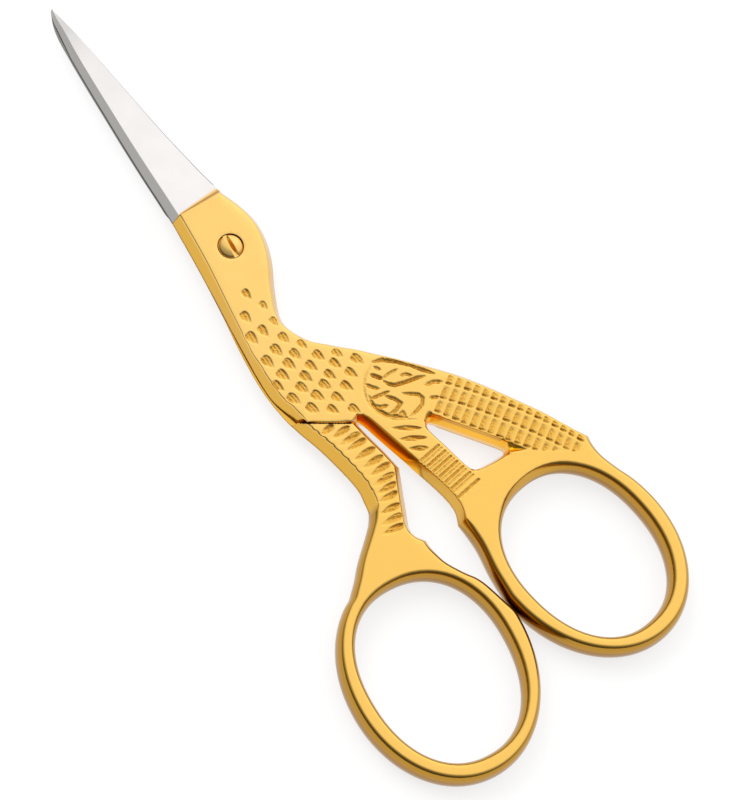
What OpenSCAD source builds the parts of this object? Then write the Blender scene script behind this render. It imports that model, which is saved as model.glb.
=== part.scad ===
// Stork embroidery scissors, closed and lying flat. Sizes are in millimetres.
// The origin is on the pivot axis at the face that the scissors rest on,
// +Y runs along the closed blades to the tip and +Z points up.
// The front half is the upper one: its neck and blade lie over the back half's.

/* [Thickness and fits] */
// Thickness of the closed handles
thickness = 3.6; // [3:0.1:4.4]
// Width of the sloping edges round the handles, seen from above
edge_slope = 0.75; // [0.4:0.05:0.9]
// Running gap between the flat inner faces of the two halves
running_gap = 0.04; // [0.02:0.01:0.1]
// Gap between the step of one half and the neck of the other when closed
step_gap = 0.16; // [0.08:0.02:0.3]
// Gap between the two bows when closed
bow_gap = 0.04; // [0.02:0.02:0.4]

/* [Blades] */
// Length of a blade from the plating line to the tip
blade_length = 26.2; // [20:0.2:34]
// Width of the closed blades at the plating line
blade_width = 6.3; // [5.4:0.1:7]
// Thickness of a blade's spine at the tip
tip_thickness = 0.8; // [0.4:0.05:1.2]
// Width of the sloping face along a blade's spine
spine_slope = 0.6; // [0.3:0.05:0.8]
// Thickness left at a cutting edge
edge_thickness = 0.12; // [0.06:0.02:0.3]
// Distance that a cutting edge stays inside the other blade's spine
edge_cover = 0.12; // [0.04:0.02:0.3]

/* [Neck and body] */
// Distance from the pivot to the plating line
shoulder = 5.7; // [5:0.1:6.8]
// Distance from the pivot axis to the right side of the boss
boss_reach = 4.35; // [4:0.05:5]
// Width of the stork's neck at its narrowest place
neck_width = 5.45; // [4.8:0.05:6]
// Distance from the pivot down to the corner where the legs part
crossing = 22.4; // [21.4:0.1:23.4]
// Distance from the pivot axis to the tail's outer corner
tail_reach = 19.6; // [18.6:0.1:20.4]
// Width of the sloping edges round the window behind the leg
window_slope = 0.5; // [0.2:0.05:0.8]

/* [Bows] */
// Width of the left finger hole
left_hole_width = 15.6; // [13:0.1:17]
// Length of the left finger hole
left_hole_length = 19.8; // [17.6:0.1:22]
// Width of the right finger hole
right_hole_width = 14.7; // [12.6:0.1:16.4]
// Length of the right finger hole
right_hole_length = 19; // [17:0.1:21]
// Width of a bow's metal at its sides
bow_side = 2.35; // [2:0.05:3]
// Width of a bow's metal at its far end
bow_end = 2.3; // [1.9:0.05:3]
// Distance from the pivot down to the middle of the left hole
left_reach = 48.8; // [47.6:0.1:50]
// Distance from the pivot down to the middle of the right hole
right_reach = 47.3; // [46:0.1:48.6]
// Sideways distance from the blades' line to where the bows meet
meeting_x = 1.8; // [1:0.1:2.6]

/* [Pivot screw] */
// Diameter of the screw's shank
shank_diameter = 1.8; // [1.4:0.05:2]
// Clearance all round the shank in the front half
shank_clearance = 0.03; // [0.01:0.01:0.08]
// Diameter of the screw's head
head_diameter = 2.7; // [2.5:0.05:3.4]
// Depth of the seat that the head lies in
seat_depth = 0.45; // [0.3:0.05:0.7]
// Height of the head's dome above the handle
dome_height = 0.42; // [0.2:0.02:0.7]
// Width of the screwdriver slot
slot_width = 0.38; // [0.25:0.01:0.5]
// Depth of the screwdriver slot below the top of the dome
slot_depth = 0.5; // [0.3:0.02:0.6]

/* [Hidden] */
$fn = 64;
GOLD = [0.95, 0.72, 0.3];
STEEL = [0.8, 0.8, 0.82];
MIDDLE = thickness / 2;
// Room that a cutting tool reaches past the metal
OVER = 2;
// Gap under the screw's head and round its rim
HEAD_GAP = 0.03;
// Direction of the screwdriver slot, from the X axis
SLOT_ANGLE = 85;
// Power of the ovals: 2 is an ellipse, and the holes are a little squarer
HOLE_POWER = 2.2;
BOW_POWER = 2.05;
// Angles by which the finger holes and the bows round them lean outwards
HOLE_LEAN = 7;
BOW_LEAN = 11;
// Share by which a bow is wider towards the pivot and narrower away from it
BOW_TAPER = 0.03;
// Angle between the points round a bow
BOW_STEP = 6;

function unit(v) = v / norm(v);
function flat(p) = [p[0], p[1]];

// Points of a smooth curve through the given points, without the last one.
// Each point is [x, y, width of the sloping edge there].
function smooth(p, steps) = [
    for (i = [0 : len(p) - 2], k = [0 : steps - 1])
        let (
            a = p[max(i - 1, 0)],
            b = p[i],
            c = p[i + 1],
            d = p[min(i + 2, len(p) - 1)],
            t = k / steps
        )
        b + (c - a) * t / 2 + (2 * a - 5 * b + 4 * c - d) * t * t / 2
            + (3 * b - a - 3 * c + d) * t * t * t / 2
];

// The outline moved inwards by each point's own slope, or outwards for side -1
function sloped(p, side = 1) = [
    for (i = [0 : len(p) - 1])
        let (
            before = flat(p[(i + len(p) - 1) % len(p)]),
            here = flat(p[i]),
            after = flat(p[(i + 1) % len(p)]),
            u = unit(here - before),
            v = unit(after - here),
            inward = [-u[1] - v[1], u[0] + v[0]]
        )
        here + side * p[i][2] * inward / (1 + u * v)
];

// Side faces between the ring of points that starts at number a and the next ring
function ring_sides(a, n) = [
    for (i = [0 : n - 1], half = [0, 1])
        let (j = (i + 1) % n)
        half == 0 ? [a + i, a + i + n, a + j + n] : [a + i, a + j + n, a + j]
];

// A plate of the given outline, widest half way up, with edges that slope to both faces
module plate(outline, slope_side = 1, low = 0, high = thickness) {
    n = len(outline);
    face = sloped(outline, slope_side);
    polyhedron(
        points = concat(
            [for (q = face) [q[0], q[1], low]],
            [for (q = outline) [q[0], q[1], MIDDLE]],
            [for (q = face) [q[0], q[1], high]]
        ),
        faces = concat(
            [[for (i = [0 : n - 1]) i]],
            [[for (i = [n - 1 : -1 : 0]) 2 * n + i]],
            ring_sides(0, n),
            ring_sides(n, n)
        )
    );
}

// A bow's outline: an upright oval of the given half sizes that leans by an angle
function oval(centre, half, lean, a, power = BOW_POWER) =
    let (
        c = cos(a),
        s = sin(a),
        y = half[1] * sign(s) * pow(abs(s), 2 / power),
        wide = half[0] * (1 + BOW_TAPER * y / half[1]),
        x = wide * sign(c) * pow(abs(c), 2 / power)
    )
    [
        centre[0] + x * cos(lean) - y * sin(lean),
        centre[1] + x * sin(lean) + y * cos(lean),
        edge_slope
    ];

function arc(centre, half, lean, from, to, power = BOW_POWER) = [
    for (a = [from : BOW_STEP : to]) oval(centre, half, lean, a, power)
];

// How far an oval reaches sideways from its middle
function reach(half, lean) = max([for (p = arc([0, 0], half, lean, 0, 359)) p[0]]);

LEFT_HOLE = [left_hole_width, left_hole_length] / 2;
RIGHT_HOLE = [right_hole_width, right_hole_length] / 2;
LEFT_BOW = LEFT_HOLE + [bow_side, bow_end];
RIGHT_BOW = RIGHT_HOLE + [bow_side, bow_end];
LEFT = [meeting_x - bow_gap / 2 - reach(LEFT_BOW, -BOW_LEAN), -left_reach];
RIGHT = [meeting_x + bow_gap / 2 + reach(RIGHT_BOW, BOW_LEAN), -right_reach];

module bow_hole(centre, half, lean) {
    hole = arc(centre, half, lean, 0, 359, HOLE_POWER);
    deep = edge_slope * (MIDDLE + OVER) / MIDDLE;
    plate([for (p = hole) [p[0], p[1], deep]], -1, -OVER, thickness + OVER);
}

// A point of an outline at a distance from a bow's middle
function beside(centre, x, y, slope = edge_slope) = [centre[0] + x, centre[1] + y, slope];

// Sideways places of the neck's right and left sides where it is narrowest
NECK_RIGHT = 0.17;
NECK_LEFT = NECK_RIGHT - neck_width;
// The back half's neck and boss stay inside the front half's, so they are hidden behind it
BACK_NECK_RIGHT = NECK_RIGHT - 0.12;
BOSS_INSET = 0.3;
// Half the blades' width at the plating line
ROOT = blade_width / 2;
// The plates start above the plating line and are cut square there
ABOVE = shoulder + 1;
// Width of the slope at the edges where the two halves' steps meet
STEP_SLOPE = 0.1;
// How far the step reaches below the corner where the legs part
STEP_DROP = 0.1;

// The front half's lower edge where it crosses the back leg, down to where the legs part
STEP = [
    [NECK_LEFT + 0.2, 3.2 - crossing, 0.6],
    [NECK_LEFT + 0.7, 2.45 - crossing, STEP_SLOPE],
    [-0.75, -crossing - STEP_DROP, STEP_SLOPE],
    [0.1, -crossing, 0.3]
];

// Left edge of the front half's neck, from the plating line down
FRONT_NECK = [
    [-ROOT + 0.1, ABOVE, edge_slope],
    [-ROOT, shoulder, edge_slope],
    [-ROOT - 0.65, 0.3, edge_slope],
    [-ROOT - 1.4, -5, 0.55],
    [NECK_LEFT, -9.7, 0.5],
    [NECK_LEFT - 0.47, -13.5, 0.7],
    [NECK_LEFT - 0.5, 6.2 - crossing, 0.7],
    STEP[0]
];

// Left side of the front leg, down to the corner at the root of the right bow
RIGHT_ROOT = beside(RIGHT, -9.1, 10, 0.6);
FRONT_LEG = [
    STEP[3],
    [0.55, -crossing - 0.7, 0.5],
    [1.12, -25.7, 0.6],
    [2.07, -29.7, 0.55],
    beside(RIGHT, -8.65, 13.9, 0.5),
    beside(RIGHT, -8.5, 11.6, 0.5),
    RIGHT_ROOT
];
FRONT_BOW_ROOT = [
    RIGHT_ROOT,
    beside(RIGHT, -9, 8.4),
    beside(RIGHT, -9.1, 6.6),
    beside(RIGHT, -9.6, 3.8),
    oval(RIGHT, RIGHT_BOW, BOW_LEAN, 168)
];

// Right side of the front half: from the bow up to the tail's corner, then the stork's
// back, the hollow of the neck and the boss round the pivot
TAIL = [tail_reach, RIGHT[1] + 10.1, 0.7];
FRONT_TAIL = [
    oval(RIGHT, RIGHT_BOW, BOW_LEAN, 378),
    beside(RIGHT, 7.85, 7.4),
    beside(RIGHT, 7.75, 8.8),
    TAIL
];
BOSS = [
    [boss_reach - 1.35, -3.7, edge_slope],
    [boss_reach - 0.38, -1.4, edge_slope],
    [boss_reach, 1, edge_slope],
    [boss_reach - 0.35, 3.3, edge_slope],
    [ROOT + 0.05, shoulder, edge_slope],
    [ROOT - 0.3, ABOVE, edge_slope]
];
FRONT_BACK = concat(
    [
        TAIL,
        [tail_reach - 1.35, -34.4, 0.7],
        [16.6, -31.2, edge_slope],
        [12.1, -24.1, edge_slope],
        [6.1, -17.3, edge_slope],
        [3.1, -14.3, edge_slope],
        [1.2, -12.3, edge_slope],
        [NECK_RIGHT, -9.4, edge_slope],
        [1.5, -6.2, edge_slope]
    ],
    BOSS
);

FRONT_OUTLINE = concat(
    smooth(FRONT_NECK, 3),
    [STEP[0], STEP[1], STEP[2]],
    smooth(FRONT_LEG, 3),
    smooth(FRONT_BOW_ROOT, 3),
    arc(RIGHT, RIGHT_BOW, BOW_LEAN, 168, 377),
    smooth(FRONT_TAIL, 3),
    smooth(FRONT_BACK, 4),
    [FRONT_BACK[len(FRONT_BACK) - 1]]
);

// Window between the front leg and the tail
WINDOW = [
    [6.45, -26.65, window_slope],
    [5.95, -27.3, window_slope],
    [6.4, -29.7, window_slope],
    [6.97, -32.7, window_slope],
    [7.4, -33.4, window_slope],
    [8.6, -33.65, window_slope],
    [10.9, -33.8, window_slope],
    [11.35, -33.4, window_slope / 2],
    [11.1, -32.8, window_slope / 2],
    [8.6, -29.3, window_slope / 2],
    [7.3, -27.5, window_slope / 2],
    [6.45, -26.65, window_slope]
];

// Left edge of the back half: the neck, which stands a little proud of the front one,
// the back leg and the outer side of the left bow's root
BACK_LEFT = [
    [-ROOT + 0.1, ABOVE, edge_slope],
    [-ROOT, shoulder, edge_slope],
    [-ROOT - 0.65, 0.3, edge_slope],
    [-ROOT - 1.45, -5, 0.6],
    [NECK_LEFT - 0.2, -9.7, 0.6],
    [NECK_LEFT - 0.75, -14.5, 0.7],
    [NECK_LEFT - 0.5, 3.6 - crossing, 0.8],
    [-4.75, -23.2, 1],
    [-4.08, -27.8, 1],
    [-4.3, -29.9, 1],
    beside(LEFT, 3.45, 17, 0.8),
    beside(LEFT, -0.1, 14.1, 0.7),
    beside(LEFT, -1.6, 12.7, 0.7),
    oval(LEFT, LEFT_BOW, -BOW_LEAN, 120)
];
// Inner side of the left bow's root, up to its corner
LEFT_ROOT = beside(LEFT, 7.2, 12, 0.7);
BACK_BOW_ROOT = [
    oval(LEFT, LEFT_BOW, -BOW_LEAN, 372),
    beside(LEFT, 9.37, 5.1),
    beside(LEFT, 8.3, 7.1),
    beside(LEFT, 7.35, 9.1),
    beside(LEFT, 7.1, 10.9),
    LEFT_ROOT
];
// Right side of the back leg, from the notch above the bow up to the knee and the neck
KNEE = [1.02, -28.9, 0.8];
BACK_SHIN = [
    LEFT_ROOT,
    beside(LEFT, 6.45, 13.6, 0.7),
    beside(LEFT, 7.3, 15.6, 0.8),
    KNEE
];
BACK_THIGH = [
    KNEE,
    [0.77, -26.7, 0.8],
    [0.27, -crossing - 1.3, 0.8],
    [BACK_NECK_RIGHT, -21, 0.8],
    [BACK_NECK_RIGHT, -15, 0.8],
    [BACK_NECK_RIGHT, -9.6, 0.8],
    [1.3, -6.2, edge_slope]
];
BACK_BOSS = [for (p = BOSS) [p[0] - BOSS_INSET, p[1], p[2]]];

BACK_OUTLINE = concat(
    smooth(BACK_LEFT, 3),
    arc(LEFT, LEFT_BOW, -BOW_LEAN, 120, 371),
    smooth(BACK_BOW_ROOT, 3),
    smooth(BACK_SHIN, 3),
    smooth(concat(BACK_THIGH, BACK_BOSS), 3),
    [BACK_BOSS[len(BACK_BOSS) - 1]]
);

FRONT_FLOOR = MIDDLE + running_gap / 2;
BACK_ROOF = MIDDLE - running_gap / 2;
// Far enough sideways to clear every neck
WIDE = 12;

// Where the front half keeps only its upper layer: left of the edge of the back neck
module under_front_neck() {
    edge = BACK_NECK_RIGHT + step_gap;
    translate([0, 0, -OVER]) linear_extrude(OVER + FRONT_FLOOR) polygon([
        [-WIDE, -crossing - OVER],
        [edge, -crossing - OVER],
        [edge, -14],
        [edge + 1.2, -10.4],
        [WIDE, -9],
        [WIDE, shoulder + OVER],
        [-WIDE, shoulder + OVER]
    ]);
}

// Where the back half keeps only its lower layer: above the front half's step
module over_back_neck() {
    along = unit(flat(STEP[2]) - flat(STEP[1]));
    move = step_gap * [along[1], -along[0]];
    low = -crossing - STEP_DROP + move[1];
    translate([0, 0, BACK_ROOF]) linear_extrude(thickness + OVER) polygon([
        [WIDE, low],
        flat(STEP[2]) + move,
        flat(STEP[1]) + move,
        flat(STEP[0]) + move,
        flat(STEP[0]) + move + [-OVER, OVER / 2],
        [-WIDE, shoulder + OVER],
        [WIDE, shoulder + OVER]
    ]);
}

// Everything above the plating line, where the blade begins
module past_plating_line() {
    translate([-WIDE, shoulder, -OVER]) cube([2 * WIDE, OVER, thickness + 2 * OVER]);
}

module window_hole() {
    deep = (MIDDLE + OVER) / MIDDLE;
    hole = smooth(WINDOW, 2);
    plate([for (p = hole) [p[0], p[1], p[2] * deep]], -1, -OVER, thickness + OVER);
}

// The forged blanks of the two handles, at their full thickness
module front_blank() {
    resize([0, 0, thickness]) difference() {
        plate(FRONT_OUTLINE);
        under_front_neck();
        past_plating_line();
        bow_hole(RIGHT, RIGHT_HOLE, HOLE_LEAN);
        window_hole();
    }
}

module back_blank() {
    resize([0, 0, thickness]) difference() {
        plate(BACK_OUTLINE);
        over_back_neck();
        past_plating_line();
        bow_hole(LEFT, LEFT_HOLE, -HOLE_LEAN);
    }
}

module front_handle() {
    color(GOLD) difference() {
        front_blank();
        translate([0, 0, -OVER])
            cylinder(d = shank_diameter + 2 * shank_clearance, h = thickness + 2 * OVER);
        translate([0, 0, thickness - seat_depth])
            cylinder(d = head_diameter + 2 * HEAD_GAP, h = OVER);
    }
}

module back_handle() {
    color(GOLD) difference() {
        back_blank();
        translate([0, 0, -OVER])
            cylinder(d = shank_diameter, h = thickness + OVER);
    }
}

// Stations along a blade: share of its length, then the shares of half its width that
// its spine and its cutting edge stand away from the middle line
BLADE_STATIONS = [
    [0, 1, 1],
    [0.1, 0.94, 0.84],
    [0.2, 0.89, 0.73],
    [0.35, 0.8, 0.58],
    [0.5, 0.69, 0.475],
    [0.65, 0.575, 0.37],
    [0.8, 0.44, 0.265],
    [0.9, 0.32, 0.175],
    [0.96, 0.2, 0.1],
    [1, 0.04, 0.04]
];

// Share of edge_cover that is gone at the tip
COVER_TAPER = 0.6;
// Most of the blade's width that the sloping face along the spine takes
SPINE_SHARE = 0.4;

// A blade as a loft: a spine with a sloping side, and a face ground down to the edge.
// Up is 1 for the upper blade, whose edge is on the right, and -1 for the lower one.
module blade(up) {
    inner = up > 0 ? FRONT_FLOOR : BACK_ROOF;
    points = [
        for (s = BLADE_STATIONS)
            let (
                y = shoulder + blade_length * s[0],
                tuck = up > 0 ? 0 : edge_cover * (1 - COVER_TAPER * s[0]),
                left = tuck - ROOT * s[1],
                right = tuck + ROOT * s[2],
                spine = up > 0 ? left : right,
                edge = up > 0 ? right : left,
                slope = min(spine_slope, SPINE_SHARE * (right - left)) * up,
                high = MIDDLE - running_gap / 2 - s[0] * (MIDDLE - tip_thickness)
            )
            each [
                [spine, y, inner],
                [spine + slope, y, inner + up * high],
                [edge, y, inner + up * edge_thickness],
                [edge, y, inner]
            ]
    ];
    last = 4 * (len(BLADE_STATIONS) - 1);
    polyhedron(
        points = points,
        faces = concat(
            [[0, 1, 2, 3]],
            [[for (k = [3 : -1 : 0]) last + k]],
            [for (i = [0 : 4 : last - 4]) each ring_sides(i, 4)]
        )
    );
}

module front_blade() {
    color(STEEL) blade(1);
}

module back_blade() {
    color(STEEL) blade(-1);
}

// Slotted screw: its shank turns in the front half and is threaded into the back one
module pivot_screw() {
    seat = thickness - seat_depth + HEAD_GAP;
    rim = head_diameter / 2;
    dome = (rim * rim + dome_height * dome_height) / (2 * dome_height);
    color(GOLD) difference() {
        union() {
            cylinder(d = shank_diameter, h = seat + HEAD_GAP);
            intersection() {
                translate([0, 0, seat]) cylinder(d = head_diameter, h = OVER);
                translate([0, 0, thickness + dome_height - dome]) sphere(r = dome);
            }
        }
        rotate(SLOT_ANGLE)
            translate([-OVER, -slot_width / 2, thickness + dome_height - slot_depth])
            cube([2 * OVER, slot_width, OVER]);
    }
}

front_handle();
front_blade();
back_handle();
back_blade();
pivot_screw();
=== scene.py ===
# Stork embroidery scissors, closed and lying flat on a white ground.
# Each half is modelled again over its solids, with rounded edges and its carving.
# Sizes are in millimetres in the frame of the solids: the origin is on the pivot axis at
# the resting face, +Y runs to the blades' tip and +Z points up.
import math

import bmesh
import bpy
import numpy as np
from mathutils import Matrix, Vector
from mathutils.geometry import delaunay_2d_cdt
from mathutils.kdtree import KDTree


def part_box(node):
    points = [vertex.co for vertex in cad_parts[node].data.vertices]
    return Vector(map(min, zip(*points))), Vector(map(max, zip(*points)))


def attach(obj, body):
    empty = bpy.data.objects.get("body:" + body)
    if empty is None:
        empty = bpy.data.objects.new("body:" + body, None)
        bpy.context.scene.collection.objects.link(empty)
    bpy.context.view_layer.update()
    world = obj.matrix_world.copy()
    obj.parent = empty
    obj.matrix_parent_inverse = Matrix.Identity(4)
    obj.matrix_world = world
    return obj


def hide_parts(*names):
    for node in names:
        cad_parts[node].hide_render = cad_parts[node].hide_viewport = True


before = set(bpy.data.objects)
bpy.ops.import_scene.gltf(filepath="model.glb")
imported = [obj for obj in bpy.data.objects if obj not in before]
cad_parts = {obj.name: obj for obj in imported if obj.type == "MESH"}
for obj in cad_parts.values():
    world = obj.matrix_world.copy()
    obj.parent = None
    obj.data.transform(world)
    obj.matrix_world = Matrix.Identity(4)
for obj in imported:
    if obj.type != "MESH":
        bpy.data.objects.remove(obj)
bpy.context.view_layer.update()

MM = 0.001


def node_box(node):
    """Lowest and highest corner of a solid, in millimetres."""
    low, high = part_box(node)
    return np.array(low) / MM, np.array(high) / MM


THICK = node_box("front_handle")[1][2]
MIDDLE = THICK / 2
FRONT_FLOOR = node_box("front_blade")[0][2]
BACK_ROOF = node_box("back_blade")[1][2]
SHOULDER = node_box("front_blade")[0][1]
TIP = node_box("front_blade")[1][1]
# Distance from a level face at which the outline of a solid is read
SKIM = 0.006
# Outlines that stay this near to the axis are the screw's holes
SCREW_ZONE = 2.0
# Places this near to a line or a level count as on it
NEAR = 0.01
# A distance that counts as none
TINY = 1e-4


# Plane geometry

def unit(vector):
    """The vectors made 1 long."""
    return vector / np.maximum(np.linalg.norm(vector, axis=-1, keepdims=True), 1e-9)


def clamp(value):
    """The value, or the nearer of 0 and 1 where it lies outside them."""
    return np.clip(value, 0, 1)


def aside(vectors):
    """The vectors turned to their left by a right angle."""
    return np.stack([-vectors[..., 1], vectors[..., 0]], -1)


def between(ends, share):
    """The value at a share of the way from the first of two ends to the second."""
    return ends[0] + (ends[1] - ends[0]) * share


def screw_hole(loop):
    """Whether an outline is one of the screw's holes."""
    return np.abs(loop).max() < SCREW_ZONE


def smoothstep(low, high, value):
    """0 at low and 1 at high, also past them, and smooth between. Either may be the larger."""
    t = clamp((value - low) / (high - low))
    return t * t * (3 - 2 * t)


def hermite(t, start, start_slope, end, end_slope):
    """A smooth curve from start to end while t goes from 0 to 1."""
    return (
        (2 * t**3 - 3 * t**2 + 1) * start
        + (t**3 - 2 * t**2 + t) * start_slope
        + (3 * t**2 - 2 * t**3) * end
        + (t**3 - t**2) * end_slope
    )


def solid_arrays(node):
    """Corner points of a solid's triangles, in millimetres."""
    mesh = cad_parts[node].data
    mesh.calc_loop_triangles()
    points = np.empty(len(mesh.vertices) * 3, np.float32)
    mesh.vertices.foreach_get("co", points)
    corners = np.empty(len(mesh.loop_triangles) * 3, np.int32)
    mesh.loop_triangles.foreach_get("vertices", corners)
    return points.reshape(-1, 3)[corners].reshape(-1, 3, 3).astype(float) / MM


def section(node, height):
    """Closed outlines of a solid at a height: a list of arrays of plane points."""
    links = {}
    places = {}
    for tri in solid_arrays(node):
        ends = []
        for a, b in ((0, 1), (1, 2), (2, 0)):
            low, high = sorted((tuple(tri[a]), tuple(tri[b])), key=lambda p: (p[2], p))
            if low[2] <= height < high[2]:
                share = (height - low[2]) / (high[2] - low[2])
                place = np.array(low[:2]) + share * (np.array(high[:2]) - low[:2])
                key = tuple(np.round(place, 3))
                places[key] = place
                ends.append(key)
        if len(ends) == 2 and ends[0] != ends[1]:
            links.setdefault(ends[0], []).append(ends[1])
            links.setdefault(ends[1], []).append(ends[0])
    loops = []
    while links:
        start = next(iter(links))
        loop = [start]
        here = start
        while links.get(here):
            after = links[here].pop()
            links[after].remove(here)
            loop.append(after)
            here = after
        links = {key: ends for key, ends in links.items() if ends}
        loops.append(np.array([places[key] for key in loop[:-1]]))
    return [tidy_loop(loop) for loop in loops if len(loop) > 3]


def tidy_loop(loop, least=0.06):
    """A loop without the points that lie close after another one."""
    kept = [loop[0]]
    for point in loop[1:]:
        if np.hypot(*(point - kept[-1])) > least:
            kept.append(point)
    if np.hypot(*(kept[-1] - kept[0])) <= least:
        kept.pop()
    return np.array(kept)


def round_loop(loop, spacing, corner=20):
    """A loop through the same points with round stretches made smooth and corners kept."""
    after = np.roll(loop, -1, 0) - loop
    length = np.linalg.norm(after, axis=1)
    ahead = unit(after)
    behind = np.roll(ahead, 1, 0)
    turn = np.degrees(np.arccos(np.clip((ahead * behind).sum(1), -1, 1)))
    before = np.roll(length, 1)
    middle = unit(ahead * before[:, None] + behind * length[:, None])
    sharp = turn > corner
    out = []
    for i in range(len(loop)):
        j = (i + 1) % len(loop)
        start = (ahead[i] if sharp[i] else middle[i]) * length[i]
        end = (ahead[i] if sharp[j] else middle[j]) * length[i]
        steps = max(1, math.ceil(length[i] / spacing))
        out += [hermite(t, loop[i], start, loop[j], end) for t in np.arange(steps) / steps]
    return np.array(out)


def inside(points, loops):
    """Which points lie inside the outlines, holes left out."""
    result = np.zeros(len(points), bool)
    for loop in loops:
        for a, b in zip(loop, np.roll(loop, -1, 0)):
            if a[1] == b[1]:
                continue
            level = (points[:, 1] < a[1]) != (points[:, 1] < b[1])
            x = a[0] + (points[level, 1] - a[1]) * (b[0] - a[0]) / (b[1] - a[1])
            result[level] ^= points[level, 0] < x
    return result


class Edge:
    """Outlines that give the distance and the nearest place to any point.
    The cut across the plating line and the screw's holes are left out, and so are the
    stretches whose middles the function left_out picks."""

    def __init__(self, loops, left_out=None):
        starts, ends, before = [], [], []
        for loop in loops:
            if screw_hole(loop):
                continue
            first = len(starts)
            n = len(loop)
            starts.extend(loop)
            ends.extend(np.roll(loop, -1, 0))
            before.extend(first + (np.arange(n) - 1) % n)
        self.a = np.array(starts)
        self.b = np.array(ends)
        self.before = np.array(before)
        cut = SHOULDER - NEAR
        self.kept = ~((self.a[:, 1] > cut) & (self.b[:, 1] > cut))
        if left_out is not None:
            self.kept &= ~left_out((self.a + self.b) / 2)
        useful = np.flatnonzero(self.kept | self.kept[self.before])
        self.tree = KDTree(len(useful))
        for i in useful:
            self.tree.insert((self.a[i, 0], self.a[i, 1], 0), i)
        self.tree.balance()

    def nearest(self, points):
        """Distance to the outlines and the nearest place on them, for each point."""
        found = np.array([self.tree.find((x, y, 0))[1] for x, y in points])
        best = np.full(len(points), np.inf)
        place = np.zeros((len(points), 2))
        for segment in (found, self.before[found]):
            a = self.a[segment]
            span = self.b[segment] - a
            share = ((points - a) * span).sum(1) / np.maximum((span**2).sum(1), TINY**2)
            at = a + clamp(share)[:, None] * span
            gap = np.linalg.norm(points - at, axis=1)
            gap[~self.kept[segment]] = np.inf
            nearer = gap < best
            best[nearer] = gap[nearer]
            place[nearer] = at[nearer]
        return best, place


# Carving. Each function gives the depth of its cuts at the points p, in millimetres.

# A chisel mark's sides: the power of their curve, and the rounded share of their slope
TIP_POWER = 1.7
SOFT_SHARE = 0.4
# Ripples in it: their share of its depth, their width, and how many it crosses lengthwise
RIPPLE = 0.42
RIPPLE_WIDTH = 0.37
RIPPLE_LEAN = 1.4
# An engraved line: the power that rounds its floor, its share at its ends, and its length
# over that of a taper
STROKE_POWER = 0.75
STROKE_ENDS = 0.5
STROKE_TAPERS = 6


def pocket(p, head, tip, half, depth, walls, blunt, tail, square=2.0):
    """A chisel mark with a blunt head and a pointed tip. The walls are the widths of the
    slopes at its head and on its left and right sides, seen from the head. A higher number
    for square makes the head squarer."""
    head, tip = np.array(head, float), np.array(tip, float)
    length = np.hypot(*(tip - head))
    axis = (tip - head) / length
    offset = p - head
    u = offset @ axis / length
    v = offset @ aside(axis)
    near = (u > 0) & (u < 1) & (np.abs(v) < half)
    result = np.zeros(len(p))
    u, v = u[near], v[near]
    start = np.maximum(0, 1 - np.maximum(0, 1 - u / blunt) ** square) ** (1 / square)
    end = 1 - (np.maximum(0, u - blunt) / (1 - blunt)) ** TIP_POWER
    width = half * np.where(u < blunt, start, end)
    rise = np.minimum(u * length / walls[0], (width - v) / walls[1])
    rise = clamp(np.minimum(rise, (width + v) / walls[2]))
    waves = v / RIPPLE_WIDTH + RIPPLE_LEAN * u + head.sum()
    ripple = 1 - RIPPLE * (0.5 + 0.5 * np.sin(2 * np.pi * waves))
    floor = depth * (1 - (1 - tail) * u) * ripple
    result[near] = floor * ((1 - SOFT_SHARE) * rise + SOFT_SHARE * smoothstep(0, 1, rise))
    return result


def stroke(p, points, half, depth):
    """An engraved line through the points, V-shaped."""
    points = [np.array(q, float) for q in points]
    lengths = [np.hypot(*(b - a)) for a, b in zip(points, points[1:])]
    total = sum(lengths)
    gap = np.full(len(p), np.inf)
    along = np.zeros(len(p))
    passed = 0
    for a, b, length in zip(points, points[1:], lengths):
        share = clamp((p - a) @ (b - a) / length**2)
        here = np.linalg.norm(p - a - share[:, None] * (b - a), axis=1)
        nearer = here < gap
        gap[nearer] = here[nearer]
        along[nearer] = (passed + share[nearer] * length) / total
        passed += length
    full = np.minimum(1, STROKE_TAPERS * np.minimum(along, 1 - along))
    taper = STROKE_ENDS + (1 - STROKE_ENDS) * full
    return depth * taper * clamp(1 - gap / (half * taper)) ** STROKE_POWER


# Middles of the feather marks on the neck and breast, with the size of each
FEATHERS = [
    (-1.75, -5.3, 0.9), (-3.3, -7.3, 1), (-1.0, -7.25, 0.78), (-4.1, -9.5, 1.08),
    (-2.65, -9.5, 0.98), (-1.1, -9.3, 0.84), (-1.3, -11.3, 0.98), (-4.25, -12.5, 1.1),
    (-2.75, -12.0, 1.08), (-0.1, -12.9, 0.9), (-1.35, -13.4, 1), (-3.75, -14.55, 1.05),
    (-2.5, -13.95, 1.05), (0.6, -14.85, 1), (-4.9, -15.2, 1), (-1.85, -16.0, 1.05),
    (-0.7, -15.35, 1), (2.4, -15.7, 0.9), (-2.9, -16.75, 1.05), (0.35, -17.2, 0.98),
    (1.55, -16.5, 0.98), (-4.35, -17.25, 1.08), (3.75, -17.4, 1.05), (-0.7, -17.8, 1),
    (2.35, -18.25, 1), (-2.05, -18.35, 1.05), (-3.3, -19.15, 1.05), (1.1, -19.15, 1),
    (-0.4, -19.65, 1), (-1.6, -20.4, 0.92), (0.3, -21.6, 0.95),
]
FEATHER_LENGTH = 1.66
FEATHER_HALF = 0.56
FEATHER_DEPTH = 0.22
FEATHER_WALLS = (0.16, 0.14, 0.36)
FEATHER_SHAPE = {"blunt": 0.3, "tail": 0.45, "square": 2.8}
# How far they lean towards +X, in degrees: on the neck, and how much more on the breast
NECK_LEAN = 6
BREAST_LEAN = 18


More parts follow.
